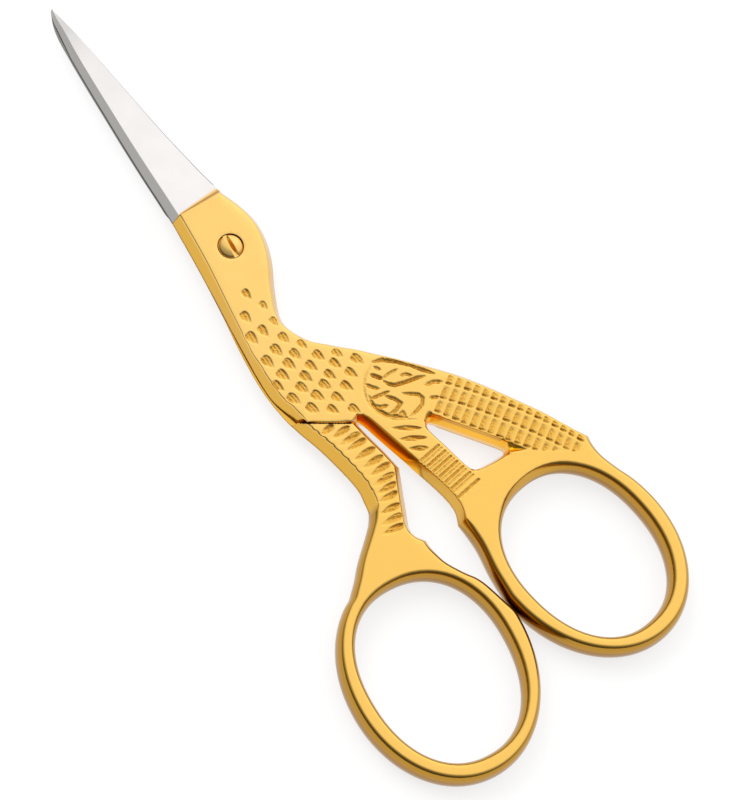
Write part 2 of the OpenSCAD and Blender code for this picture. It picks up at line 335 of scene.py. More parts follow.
def feathers(p):
    marks = []
    for x, y, size in FEATHERS:
        lean = math.radians(NECK_LEAN + BREAST_LEAN * smoothstep(-8, -20, y))
        half = np.array([math.sin(lean), -math.cos(lean)]) * FEATHER_LENGTH * size / 2
        ends = (x, y) - half, (x, y) + half
        width = FEATHER_HALF * size
        marks.append(pocket(p, *ends, width, FEATHER_DEPTH, FEATHER_WALLS, **FEATHER_SHAPE))
    return np.maximum.reduce(marks)


# Strokes of the wing: points, half width and depth
WING = [
    ([(5.0, -18.5), (4.16, -18.81), (3.32, -19.26), (2.72, -19.88), (2.27, -20.59),
      (1.97, -21.4), (1.92, -22.24), (2.05, -23.05), (2.44, -23.88), (3.14, -24.7),
      (4.3, -25.47), (5.1, -26.0)], 0.18, 0.099),
    ([(4.9, -18.42), (5.95, -18.75), (7.06, -19.75), (8.05, -20.8), (8.73, -21.8),
      (9.6, -23.0)], 0.324, 0.264),
    ([(4.7, -18.9), (5.1, -19.55)], 0.24, 0.154),
    ([(3.95, -19.4), (4.7, -20.45)], 0.264, 0.242),
    ([(4.64, -20.7), (4.9, -21.25), (5.35, -21.72), (6.5, -22.08), (7.75, -22.35),
      (8.6, -22.65)], 0.252, 0.242),
    ([(2.4, -21.55), (4.5, -21.95)], 0.204, 0.198),
    ([(4.7, -20.45), (5.6, -20.35), (6.7, -20.48)], 0.18, 0.165),
    ([(6.45, -21.2), (7.05, -21.38), (7.5, -21.88)], 0.204, 0.165),
    ([(2.87, -19.98), (3.27, -20.6), (3.75, -21.15)], 0.228, 0.176),
    ([(3.8, -22.05), (4.46, -22.9), (4.76, -23.65), (3.8, -24.0), (3.0, -23.95)], 0.24, 0.22),
    ([(5.5, -22.87), (6.85, -23.9), (7.0, -24.45), (6.5, -25.0), (5.6, -25.25),
      (4.7, -25.35)], 0.228, 0.198),
    ([(2.24, -22.3), (2.66, -22.8), (3.45, -23.1)], 0.24, 0.187),
    ([(2.42, -21.2), (2.2, -22.1), (2.33, -22.9), (2.75, -23.85), (3.8, -24.75),
      (4.4, -25.3)], 0.24, 0.22),
    ([(3.77, -24.6), (4.36, -24.5), (4.3, -25.1)], 0.204, 0.165),
    ([(8.0, -23.5), (8.95, -23.65), (9.75, -24.15)], 0.264, 0.187),
    ([(7.6, -24.85), (8.45, -25.3)], 0.228, 0.176),
]


def wing(p):
    return np.maximum.reduce([stroke(p, *line) for line in WING])


# The three long feathers above the front leg's cuff: head, tip, half width
PLUMES = [
    ((5.0, -27.1), (2.05, -25.15), 0.34), ((4.85, -28.2), (2.05, -26.6), 0.36),
    ((4.3, -29.2), (2.25, -28.0), 0.36),
]
PLUME_DEPTH = 0.24
PLUME_WALLS = (0.3, 0.36, 0.14)
PLUME_SHAPE = {"blunt": 0.5, "tail": 0.8}


def plumes(p):
    return np.maximum.reduce([
        pocket(p, *plume, PLUME_DEPTH, PLUME_WALLS, **PLUME_SHAPE) for plume in PLUMES
    ])


# Rings of the cuff: heights of the deep lines at the leg's left edge
CUFF = [-29.75, -30.65, -31.46, -32.29, -33.12, -34.05, -35.2]
CUFF_LEFT = 3.3
CUFF_RISE = 0.13
# Each ring is a deep line and a fainter one below it: distance below, half width and depth
CUFF_LINES = ((0, 0.17, 0.2), (0.4, 0.16, 0.13))
CUFF_POWER = 0.8
# Highest and lowest place of the rings, the leg's left side, and where the rings end on the
# right: a place across, the height at which it is read and its shift for each mm down
CUFF_SPAN = (-29.4, -35.5)
CUFF_FROM = 1.5
CUFF_END = (5.3, -29.5, 0.24)
CUFF_FADE = 0.3


def cuff(p):
    rise = p[:, 1] - CUFF_RISE * (p[:, 0] - CUFF_LEFT)
    depth = np.zeros(len(p))
    for level in CUFF:
        for below, half, deep in CUFF_LINES:
            share = clamp(1 - np.abs(rise - level + below) / half)
            depth = np.maximum(depth, deep * share**CUFF_POWER)
    right = CUFF_END[0] + CUFF_END[2] * (CUFF_END[1] - p[:, 1])
    leg = (p[:, 0] > CUFF_FROM) & (rise < CUFF_SPAN[0]) & (rise > CUFF_SPAN[1])
    return np.where(leg, depth * smoothstep(CUFF_FADE, 0, p[:, 0] - right), 0)


# The tail's scales: rows along the tail, parted by thin lines of the face, with steps across
TAIL_START = np.array([10.1, -24.7])
TAIL_AXIS = unit(np.array([0.539, -0.842]))
TAIL_SIDE = aside(TAIL_AXIS)
SCALE_LENGTH = 0.985
SCALE_OFFSET = -0.32
# The lines between the rows, which curve: sideways place of the crown, where along the tail
# it is, and how strong the curve is
TAIL_ROWS = [(0.33, 7, 0.0085), (-1.36, 7.5, 0.0075), (-3.4, 1.7, -0.0039)]
# How uneven the scales are, and how that changes from one to the next
SCALE_UNEVEN = 0.17
UNEVEN_STEP = 2.4
# Depth of a scale and of the notch at its outer side. Both fall steeply at the scale's start,
# within a share of its length, and rise slowly up to another share of it.
SCALE_FALL = 0.16
SCALE_DEPTH = 0.19
SCALE_RISE = 0.93
NOTCH_DEPTH = 0.36
NOTCH_RISE = 0.95
NOTCH_POWER = 0.8
# Distances from a row's line between which the notch fades out and the scales set in: on
# the line's upper side, and on its lower side
NOTCH_FADE = (0.52, 0.2)
ROW_ABOVE = (0.04, 0.12)
ROW_BELOW = (-0.02, -0.6)
# Distances from the face's edge between which the outer row sets in
TAIL_BORDER = (0.1, 0.28)
# Where the rows end: at the bow's root, on a line through this place along and across the
# tail with this rise; at the tail's tip, at a place along it that shifts for each mm across;
# and how far from the tail's line they reach at the most. Then the stretches over which
# they fade out: at the rump, at both ends just named, and at the lowest row's lower side
TAIL_BOW_END = (10.96, -2.99, 0.41)
TAIL_TIP_END = (15.4, 0.15)
TAIL_REACH = 3.5
RUMP_FADE = 0.05
END_FADE = 0.1
LOW_FADE = 0.12


def scales(p, margin):
    """The scales at the points p, whose distances from the face's edge are given."""
    u = (p - TAIL_START) @ TAIL_AXIS
    v = (p - TAIL_START) @ TAIL_SIDE
    place = (u - SCALE_OFFSET) / SCALE_LENGTH
    cell = place % 1
    uneven = 1 - SCALE_UNEVEN * (0.5 + 0.5 * np.sin(UNEVEN_STEP * np.floor(place)))
    fall = smoothstep(0, SCALE_FALL, cell)
    depth = SCALE_DEPTH * clamp(1 - cell / SCALE_RISE) * fall
    rise = clamp(1 - cell / (NOTCH_RISE * uneven)) ** NOTCH_POWER
    notch = NOTCH_DEPTH * rise * fall * uneven
    rows = [v - crown + bend * (u - middle) ** 2 for crown, middle, bend in TAIL_ROWS]
    for above in rows:
        depth = np.maximum(depth, notch * smoothstep(*NOTCH_FADE, above) * (above > 0))
        depth = depth * np.where(above > 0, smoothstep(*ROW_ABOVE, above), 1)
        depth = depth * np.where(above < 0, smoothstep(*ROW_BELOW, above), 1)
    depth = depth * np.where(rows[0] > 0, smoothstep(*TAIL_BORDER, margin), 1)
    x, y, rise = TAIL_BOW_END
    end = np.minimum(x + (v - y) / rise, TAIL_TIP_END[0] + TAIL_TIP_END[1] * v)
    fade = smoothstep(SCALE_OFFSET - RUMP_FADE, SCALE_OFFSET, u)
    fade = fade * smoothstep(END_FADE, -END_FADE, u - end)
    return depth * fade * smoothstep(-LOW_FADE, 0, rows[-1]) * (v < TAIL_REACH)


# Notches on the back leg: head and tip
LEG_NOTCHES = [
    (-2.48, -21.7, -4.51, -21.95), (-1.15, -22.77, -3.81, -22.88),
    (-0.52, -23.93, -3.6, -23.85), (-0.33, -24.79, -3.41, -24.72),
    (-0.07, -26.07, -3.32, -25.98), (0, -27.23, -3.02, -27.19),
    (0.17, -28.26, -2.9, -28.29), (-0.15, -29.44, -3.29, -29.32),
    (-0.55, -30.37, -3.42, -30.24), (-1.02, -31.25, -3.79, -31.01),
    (-1.61, -32.43, -4.44, -32.14), (-1.94, -33.5, -5, -33.14),
    (-2.62, -34.42, -5.47, -34.02),
]
LEG_NOTCH_HALF = 0.5
LEG_NOTCH_DEPTH = 0.26
LEG_NOTCH_WALLS = (0.25, 0.5, 0.17)
LEG_NOTCH_SHAPE = {"blunt": 0.36, "tail": 0.5}


def leg_notches(p):
    return np.maximum.reduce([
        pocket(p, ends[:2], ends[2:], LEG_NOTCH_HALF, LEG_NOTCH_DEPTH, LEG_NOTCH_WALLS,
               **LEG_NOTCH_SHAPE)
        for ends in LEG_NOTCHES
    ])


# The groove in which the window's slopes run out beside the bow: its start, its end, and
# half its width and its depth at the start
WINDOW_END = np.array([(10.8, -33.2), (12.95, -35.1)])
WINDOW_END_HALF = 0.95
WINDOW_END_DEPTH = 0.8


def window_end(p):
    start, end = WINDOW_END
    length = np.hypot(*(end - start))
    axis = (end - start) / length
    u = (p - start) @ axis / length
    v = (p - start) @ aside(axis)
    left = clamp(1 - u)
    side = clamp(1 - np.abs(v) / np.maximum(WINDOW_END_HALF * left, TINY))
    return WINDOW_END_DEPTH * left * side * (u > 0)


def front_carving(p, margin):
    """The carving at the points p, whose distances from the face's edge are given."""
    return np.maximum.reduce([feathers(p), plumes(p), cuff(p), wing(p) + scales(p, margin)])


def back_carving(p):
    return np.maximum(feathers(p), leg_notches(p))


# The back leg's left side, where its face has scallops
LEG_LEFT = -1.6


def scallops(p, bulge, start, pitch, top, foot):
    """How far the flat face bulges out between the marks beside it. The scallops set in
    between the two heights of top and end between those of foot."""
    wave = np.abs(np.sin(np.pi * (p[:, 1] - start) / pitch))
    return bulge * wave * smoothstep(*top, p[:, 1]) * smoothstep(*foot, p[:, 1])


def neck_scallops(p):
    return scallops(p, 0.1, start=-9.5, pitch=2.72, top=(-8.2, -9), foot=(-20.6, -20))


def leg_scallops(p):
    wave = scallops(p, 0.13, start=-21.3, pitch=1.04, top=(-20.6, -21), foot=(-30.2, -29.2))
    return wave * (p[:, 0] < LEG_LEFT)


# The two halves

LINE_SPACING = 0.17
# Shares of the way from the outline to the flat face where rings of points are laid
RINGS = [0.05, 0.13, 0.25, 0.4, 0.55, 0.7, 0.82, 0.9, 0.96, 1, 1.04, 1.1, 1.2]
# Spacing of the points in carved zones of the upper and lower faces, and elsewhere
FINE = 0.088
FINE_BELOW = 0.13
COARSE = 0.5
# The corners of the carved zones: of the front half, and of the back half above and below
FRONT_FINE = ((-6.5, -39), (20, -3.6))
BACK_FINE_TOP = ((-6.5, -36), (1.5, -19))
BACK_FINE_BOTTOM = ((-6.5, -36), (4, -3.6))
NO_POINTS = np.zeros((0, 2))
# How far the grids' points stay from the crease and all points from the outline
CREASE_CLEAR = 0.17
RIM_CLEAR = 0.02
# The walls where a half drops to its lap: spacing of their points, half the distance
# between the points on their two sides, and how far they start from the outline
STEP_SPACING = 0.2
STEP_HALF = 0.012
STEP_CLEAR = 0.1
# A side is upright where the flat face comes this near to the outline
UPRIGHT = 0.16
# Distances from an upright wall where rings of points are laid on the flat face, and the
# depth and width to which the face is rounded off there
WALL_RINGS = [0.035, 0.09, 0.16, 0.25]
RIM_DEPTH = 0.03
RIM_WIDTH = 0.25
# Radius that softens the edge between a sloping side and the flat face, and the most
# that it takes of a narrow side; and how much is added to each on the polished edges that
# look towards +X
CREASE = 0.06
CREASE_SHARE = 0.1
POLISHED_CREASE = 0.12
POLISHED_SHARE = 0.1
POLISHED_SIDE = unit(np.array([0.9, 0.43]))
# Least and greatest width of a side, and the most of it that a scallop takes
SIDE_WIDTHS = (0.05, 2)
SCALLOP_SHARE = 0.3
# How round the sloping sides are: 0 is a plane and 1 an arc
NECK_ROUND = 0.05
BOW_ROUND = 0.94
# Heights between which the legs turn into the bows. The back leg's left side does so
# sooner, in part, between these places across and these heights.
BOW_START = (-35.5, -39.5)
LEFT_ZONE = (-2.2, -3.2)
LEFT_START = (-30.8, -31.6)
LEFT_PART = 0.95


def bow_share(points):
    """0 on the legs and 1 on the bows."""
    left = smoothstep(*LEFT_ZONE, points[:, 0]) * smoothstep(*LEFT_START, points[:, 1])
    return np.maximum(smoothstep(*BOW_START, points[:, 1]), LEFT_PART * left)


def drop(points, outline, face, flat, bulge):
    """How far the surface lies below the flat face, as a share of the half thickness."""
    to_outline, place = outline.nearest(points)
    to_face, _ = face.nearest(points)
    polished = clamp(unit(place - points) @ POLISHED_SIDE)
    signed = np.where(flat, -to_face, to_face)
    width = np.clip(to_outline + signed, *SIDE_WIDTHS)
    bulge = np.minimum(bulge, SCALLOP_SHARE * width)
    x = (signed - bulge) / (width - bulge)
    crease = (CREASE + POLISHED_CREASE * polished) / width
    soft = np.minimum(crease, CREASE_SHARE + POLISHED_SHARE * polished)
    x = clamp((x + np.sqrt(x * x + soft * soft)) / 2)
    x = np.where(to_outline < TINY, 1, x)
    rounded = between((NECK_ROUND, BOW_ROUND), bow_share(points))
    return (1 - rounded) * x + rounded * (1 - np.sqrt(np.maximum(0, 1 - x * x)))


def rim_fall(half, points):
    """How far the flat face is rounded off beside the upright walls."""
    gap, _ = half.walls.nearest(points)
    return RIM_DEPTH * clamp(1 - gap / RIM_WIDTH) ** 2


def grid(low, high, step):
    x = np.arange(low[0], high[0], step)
    y = np.arange(low[1], high[1], step)
    return np.stack(np.meshgrid(x, y), -1).reshape(-1, 2)


def triangulate(border, extra, loops):
    """Triangles over the region inside the loops. The border's points come first."""
    edges = []
    first = 0
    for loop in loops:
        n = len(loop)
        edges += [(first + i, first + (i + 1) % n) for i in range(n)]
        first += n
    points = np.concatenate([border, extra])
    result = delaunay_2d_cdt([Vector(q) for q in points], edges, [], 0, 1e-5)
    places = np.array([tuple(q) for q in result[0]])
    faces = np.array([f for f in result[2] if len(f) == 3])
    middles = places[faces].mean(1)
    faces = faces[inside(middles, loops)]
    index = {}
    for new, old in enumerate(result[3]):
        for i in old:
            index[i] = new
    return places, faces, [index[i] for i in range(len(border))]


class Half:
    """The plan of one half: its outlines, its flat face and its full-thickness region."""

    def __init__(self, node, lap_height, full_height, lap_is_low, bulge):
        self.loops = [round_loop(loop, LINE_SPACING) for loop in section(node, lap_height)]
        face_height = SKIM if lap_is_low else THICK - SKIM
        face = [round_loop(loop, LINE_SPACING) for loop in section(node, face_height)]
        self.face_loops = [loop for loop in face if not screw_hole(loop)]
        self.full_loops = section(node, full_height)
        self.face = Edge(self.face_loops)
        self.rim = Edge(self.loops)
        self.outline = Edge(self.loops, self.upright)
        self.walls = Edge(self.loops, lambda middles: ~self.upright(middles))
        self.border = np.concatenate(self.loops)
        self.bulge = bulge

    def upright(self, points):
        """Which places on the outlines have an upright wall, with no slope above it."""
        return self.face.nearest(points)[0] < UPRIGHT

    def full(self, points):
        return inside(points, self.full_loops)

    def flat(self, points):
        lowered = points - np.array([0, 2 * TINY])
        points = np.where(points[:, 1:] > SHOULDER - TINY, lowered, points)
        return inside(points, self.face_loops)

    def drop(self, points):
        return drop(points, self.outline, self.face, self.flat(points), self.bulge(points))

    def ring_points(self):
        loops = [loop for loop in self.loops if not screw_hole(loop)]
        rim = np.concatenate(loops)
        _, crease = self.face.nearest(rim)
        rings = [rim + share * (crease - rim) for share in RINGS]
        for loop in loops:
            left = aside(unit(np.roll(loop, -1, 0) - np.roll(loop, 1, 0)))
            wall = self.upright(loop)
            for reach in WALL_RINGS:
                rings += [(loop + reach * left)[wall], (loop - reach * left)[wall]]
        return np.concatenate(rings)

    def step_points(self):
        """Pairs of points on both sides of the walls where the half drops to its lap."""
        walls = np.concatenate([round_loop(q, STEP_SPACING, 0) for q in self.full_loops])
        left = STEP_HALF * aside(unit(np.roll(walls, -1, 0) - walls))
        gap, _ = self.rim.nearest(walls)
        far = (gap > STEP_CLEAR) & (np.abs(walls).max(1) > SCREW_ZONE)
        return np.concatenate([(walls - left)[far], (walls + left)[far]])

    def sheet(self, zone, fine, extra=NO_POINTS):
        """Points and triangles of a face, with a fine grid in a zone, given by its corners."""
        points = grid(self.border.min(0), self.border.max(0), COARSE)
        points = np.concatenate([points, grid(*zone, fine)])
        to_face, _ = self.face.nearest(points)
        points = points[self.flat(points) & (to_face > CREASE_CLEAR)]
        points = np.concatenate([points, self.ring_points(), self.step_points(), extra])
        to_rim, _ = self.rim.nearest(points)
        points = points[inside(points, self.loops) & (to_rim > RIM_CLEAR)]
        points = points[points[:, 1] < SHOULDER - RIM_CLEAR]
        return triangulate(self.border, points, self.loops)


def circle_points(radius, count=72):
    angle = np.arange(count) * 2 * np.pi / count
    return radius * np.stack([np.cos(angle), np.sin(angle)], -1)


def place_object(name, data):
    """A new object in the scene."""
    obj = bpy.data.objects.new(name, data)
    bpy.context.scene.collection.objects.link(obj)
    return obj


def make_mesh(name, points, faces, shades, merge=0.002):
    """A closed mesh object from points in millimetres, shaded smooth. The shades are a
    dictionary of values at the points."""
    mesh = bpy.data.meshes.new(name)
    mesh.from_pydata((np.asarray(points) * MM).tolist(), [], [list(f) for f in faces])
    for title, values in shades.items():
        layer = mesh.attributes.new(title, "FLOAT", "POINT")
        layer.data.foreach_set("value", np.asarray(values, np.float32))
    shape = bmesh.new()
    shape.from_mesh(mesh)
    bmesh.ops.remove_doubles(shape, verts=shape.verts, dist=merge * MM)
    bmesh.ops.dissolve_degenerate(shape, edges=shape.edges, dist=TINY * MM)
    bmesh.ops.recalc_face_normals(shape, faces=shape.faces)
    for face in shape.faces:
        face.smooth = True
    shape.to_mesh(mesh)
    shape.free()
    return place_object(name, mesh)


def sharpen(obj, angle, steepest=1.0):
    """Edges that turn by more than the angle, in degrees, stay sharp. Where steepest is
    given, only edges of walls whose normals rise less than that do."""
    mesh = obj.data
    shape = bmesh.new()
    shape.from_mesh(mesh)
    limit = math.radians(angle)
    for edge in shape.edges:
        if len(edge.link_faces) == 2 and edge.calc_face_angle() > limit:
            rise = min(abs(face.normal.z) for face in edge.link_faces)
            edge.smooth = rise > steepest
    shape.to_mesh(mesh)
    shape.free()


def join_sheets(name, half, top, bottom, top_z, bottom_z, shades):
    """One closed mesh of an upper and a lower sheet, with walls where they don't meet."""
    points = np.concatenate([
        np.column_stack([top[0], top_z]), np.column_stack([bottom[0], bottom_z])
    ])
    below = len(top[0])
    faces = [tuple(f) for f in top[1]] + [tuple(f[::-1] + below) for f in bottom[1]]
    first = 0
    for loop in half.loops:
        n = len(loop)
        for i in range(n):
            a = first + i
            b = first + (i + 1) % n
            faces.append((top[2][a], bottom[2][a] + below, bottom[2][b] + below, top[2][b]))
        first += n
    return make_mesh(name, points, faces, shades)


def window_order(loop):
    """Sorts the window before the outline and the finger hole, and the screw's hole last."""
    return np.inf if screw_hole(loop) else len(loop)


# How much sooner the bows take on the painted shade of the slopes
BOW_BOOST = 1.6
# The distances from the window's outline, and from the narrow end of the gap between the
# legs, between which the light sets in that walls throw on each other, and the gap's share
WINDOW_REACH = (1.7, 1.3)
LEG_GAP = ((0.4, -21.6), (2.1, -28.9))
GAP_REACH = (2.4, 1.0)
GAP_GLOW = 0.8
# The slopes between which it sets in, and the painted wall light in the groove at the window's
# end
GLOW_SLOPES = (0.02, 0.3)
GROOVE_PAINTED_LIGHT = 1.5
# The depth at which a cut's floor has its full colour, the value that paints the blind gap round
# the screw in the darkest painted shade, and the painted shade on the ground run-out at the
# blade's root, as a depth
CAVITY_DEPTH = 0.16
DARKEST = 2
GROUND_PAINTED_SHADE = 0.12


def gold_shades(half, top, bottom, top_depth, bottom_depth):
    """Values that paint shade and light on the plating: how deep it lies in a cut, how far down a
    side it is, and where it is on the bows. On a side, 1 is the foot of a slope or an upright
    wall, painted darkest, and 2 a wall painted with the light that another one throws on it."""
    slopes = []
    window = Edge([min(half.loops, key=window_order)])
    for places, _, border in (top, bottom):
        # Painted shade down the sloping sides, sooner on the bows, and painted wall light near
        # the window and in the gap between the legs; upright walls get the foot's painted shade
        slope = 1 - (1 - half.drop(places)) ** (1 + BOW_BOOST * bow_share(places))
        near = smoothstep(*WINDOW_REACH, window.nearest(places)[0]) * (len(half.loops) > 3)
        near = np.maximum(near, GAP_GLOW * smoothstep(*GAP_REACH, to_line(places, *LEG_GAP)))
        slope = slope + near * smoothstep(*GLOW_SLOPES, slope)
        rim = np.array(border)
        slope[rim] = np.maximum(slope[rim], half.upright(places[rim]))
        slopes.append(slope)
    depth = np.concatenate([top_depth, bottom_depth])
    return {
        "cavity": np.clip(depth / CAVITY_DEPTH, 0, DARKEST),
        "side": np.concatenate(slopes),
        "bow": bow_share(np.concatenate([top[0], bottom[0]])),
    }


def to_line(points, start, end):
    """Distances of the points from a straight line between two places."""
    start, end = np.array(start), np.array(end)
    share = clamp((points - start) @ (end - start) / ((end - start) @ (end - start)))
    return np.linalg.norm(points - start - share[:, None] * (end - start), axis=1)


# The grind at the front blade's root: the crease on the gold and the foot on the steel
GRIND_LEFT = -2.5
GRIND_RIGHT = node_box("front_blade")[1][0]
GRIND_CREASE = (5.62, 5.25)
GRIND_FOOT = (5.8, 6.15)
# Where the plating ends on the blade, at its left and right side, and the share of the way
# there from the plating line up to which it is full
PLATING_END = (5.85, 6.6)
PLATING_FULL = 0.45


def turn_over(points):
    """The points turned over about the length of the scissors."""
    return points * np.array([-1, 1, -1]) + np.array([0, 0, THICK])


def blade_rings(node, turned):
    """A blade's solid as rings along its length: y, spine, ridge and edge sideways, and the
    heights of the ridge and the edge. A turned blade is read upside down."""
    corners = np.unique(np.round(solid_arrays(node).reshape(-1, 3), 3), axis=0)
    if turned:
        corners = turn_over(corners)
    rings = []
    for y in np.unique(corners[:, 1]):
        ring = corners[corners[:, 1] == y]
        top = ring[np.argmax(ring[:, 2])]
        right = ring[:, 0].max()
        edge = ring[ring[:, 0] > right - 0.001]
        rings.append([y, ring[:, 0].min(), top[0], right, top[2], edge[:, 2].max()])
    return np.array(rings)


def smooth_line(x, values, at):
    """Values at the places between x, along a smooth curve."""
    slope = np.gradient(values, x)
    i = np.clip(np.searchsorted(x, at) - 1, 0, len(x) - 2)
    width = x[i + 1] - x[i]
    t = (at - x[i]) / width
    return hermite(t, values[i], slope[i] * width, values[i + 1], slope[i + 1] * width)


def blade_lines(rings, y):
    """Spine, ridge and edge of a blade and the heights of the last two, at y."""
    along = rings[:, 0]
    y = np.clip(y, along[0], along[-1])
    return [smooth_line(along, rings[:, k], y) for k in range(1, 6)]


FRONT_RINGS = blade_rings("front_blade", False)
BACK_RINGS = blade_rings("back_blade", True)


def blade_face(rings, x, y):
    """Height of a blade's ground face, carried on past the plating line."""
    _, ridge, edge, high, low = blade_lines(rings, y)
    return between((high, low), clamp((x - ridge) / (edge - ridge)))


def across_root(x):
    """0 at the left side of the front blade's root and 1 at its right side."""
    return clamp((x - GRIND_LEFT) / (GRIND_RIGHT - GRIND_LEFT))


def run_out(x, y):
    """How far the surface has turned from the handle's face (0) to the blade's (1)."""
    across = across_root(x)
    crease = between(GRIND_CREASE, across)
    return smoothstep(0, 1, (y - crease) / (between(GRIND_FOOT, across) - crease))


def grind(rings, x, y):
    """Height of the surface where a blade's face runs out into the handle."""
    return between((THICK, blade_face(rings, x, y)), run_out(x, y))


# Where a half's plan is read, from its lap's face: into the lap, and out of it
INTO_LAP = SKIM
OUT_OF_LAP = 0.05
# The least depth of the screw's seat, rings of points round it, measured from its radius,
# and its lip: how far it is rounded off, and over what width
SEAT_DEPTH = 0.1
SEAT_RINGS = (-0.14, -0.015, 0.015, 0.04, 0.1)
LIP_DEPTH = 0.03
LIP_WIDTH = 0.1
# The grid of points on the run-out of the grind: where it starts, and its spacing
ROOT_START = (GRIND_LEFT - 0.6, 5.1)
ROOT_SPACING = 0.07
# Slopes between which the carving fades out at the face's edge
CARVED_SLOPES = (0.12, 0.03)
# The share of the run-out over which its painted shade sets in, and the depths for the groove's
# painted wall light
RUN_OUT_SHADE = (0, 0.35)
GROOVE_SETS_IN = (0.02, 0.2)


def screw_seat():
    """Radius and height of the seat for the screw's head in the front half."""
    seat = min(section("front_handle", THICK - SKIM), key=lambda loop: np.abs(loop).max())
    radius = np.linalg.norm(seat, axis=1).max()
    corners = solid_arrays("front_handle").reshape(-1, 3)
    corners = corners[np.linalg.norm(corners[:, :2], axis=1) < radius + NEAR]
    return radius, corners[corners[:, 2] < THICK - SEAT_DEPTH, 2].max()


def make_front_half():
    lap = FRONT_FLOOR + INTO_LAP, FRONT_FLOOR - OUT_OF_LAP
    half = Half("front_handle", *lap, False, neck_scallops)
    radius, seat_floor = screw_seat()
    rim = np.concatenate([circle_points(radius + r) for r in SEAT_RINGS])
    root = grid(ROOT_START, (GRIND_RIGHT, SHOULDER), ROOT_SPACING)
    top = half.sheet(FRONT_FINE, FINE, np.concatenate([rim, root]))
    bottom = half.sheet(FRONT_FINE, FINE_BELOW)
    p = top[0]
    drop = half.drop(p)
    depth = front_carving(p, half.face.nearest(p)[0]) * smoothstep(*CARVED_SLOPES, drop)
    groove = window_end(p)
    z = THICK - np.maximum.reduce([MIDDLE * drop, depth, groove]) - rim_fall(half, p)
    z = np.minimum(z, grind(FRONT_RINGS, p[:, 0], p[:, 1]))
    # Painted shade on the grind's run-out
    ground = smoothstep(*RUN_OUT_SHADE, run_out(p[:, 0], p[:, 1]))
    depth = np.maximum(depth, GROUND_PAINTED_SHADE * ground)
    away = np.linalg.norm(p, axis=1) - radius
    lip = LIP_DEPTH * smoothstep(LIP_WIDTH, 0, away)
    z = np.where(away < 0, seat_floor, z - lip)
    # The seat under the head is painted with the darkest shade
    depth = np.where(away < 0, DARKEST, depth)
    top_z = np.maximum(z, FRONT_FLOOR)
    q = bottom[0]
    full = half.full(q)
    below = np.where(full, front_carving(q, half.face.nearest(q)[0]), 0)
    z = np.maximum(MIDDLE * half.drop(q), below) + rim_fall(half, q)
    bottom_z = np.where(full, np.minimum(z, MIDDLE), FRONT_FLOOR)
    shades = gold_shades(half, top, bottom, depth, below)
    # Painted wall light in the groove at the window's end
    side = shades["side"][:len(p)]
    side[:] = np.maximum(side, GROOVE_PAINTED_LIGHT * smoothstep(*GROOVE_SETS_IN, groove))
    return join_sheets("front_half_carved", half, top, bottom, top_z, bottom_z, shades)


def make_back_half():
    lap = BACK_ROOF - INTO_LAP, BACK_ROOF + OUT_OF_LAP
    half = Half("back_handle", *lap, True, leg_scallops)
    top = half.sheet(BACK_FINE_TOP, FINE)
    bottom = half.sheet(BACK_FINE_BOTTOM, FINE_BELOW)
    p = top[0]
    full = half.full(p)
    depth = np.where(full, leg_notches(p), 0)
    z = THICK - np.maximum(MIDDLE * half.drop(p), depth) - rim_fall(half, p)
    top_z = np.where(full, np.maximum(z, MIDDLE), BACK_ROOF)
    q = bottom[0]
    below = back_carving(q)
    bottom_z = np.maximum(MIDDLE * half.drop(q), below) + rim_fall(half, q)
    bottom_z = np.where(half.full(q), bottom_z, np.minimum(bottom_z, BACK_ROOF))
    shades = gold_shades(half, top, bottom, depth, below)
    return join_sheets("back_half_carved", half, top, bottom, top_z, bottom_z, shades)


# The blades

# Rings of points along a blade, and the closer ones at its root: over what length and at
# what spacing
BLADE_STATIONS = 150
ROOT_LENGTH = 0.3
ROOT_STEP = 0.03
# How far the back blade's edge reaches out past its solid, and the length of its fade
# before the tip
EDGE_SPARE = 0.2
EDGE_FADE = 3
# How far the back blade's spine draws in at its root and over what length, and how far both
# spines do just short of the tip
ROOT_TRIM = 0.15
ROOT_FADE = 1.5
TIP_TRIM = 0.13
TIP_START = 26.5
# Rise of the handle's sloping side, which cuts the blade's root off beside its edge
SIDE_RISE = 2.4
# Shares across the spine's side at which its painted shadow at the foot ends and its painted
# shade ends at the ridge, and the painted shade on the front and the back blade's edge
SPINE_PAINTED_SHADOW = (0.05, 0.12)
RIDGE_SHADE_END = (0.97, 1)
EDGE_PAINTED_SHADES = (0.6, 1.5)
# The bulge of the spine's side, and shares across this side and across the ground face
SPINE_BULGE = 0.1
SPINE_SHARES = [0, 0.05, 0.08, 0.11, 0.2, 0.3, 0.5, 0.7, 0.88, 0.95, 1]
FACE_SHARES = [0.01, 0.03, 0.08, 0.16, 0.26, 0.36, 0.46, 0.56, 0.66, 0.76, 0.86, 0.93, 0.98, 1]


def plating(x, y):
    """How much of the plating is left on the blade's root."""
    share = (y - SHOULDER) / (between(PLATING_END, across_root(x)) - SHOULDER)
    return smoothstep(1, PLATING_FULL, share)


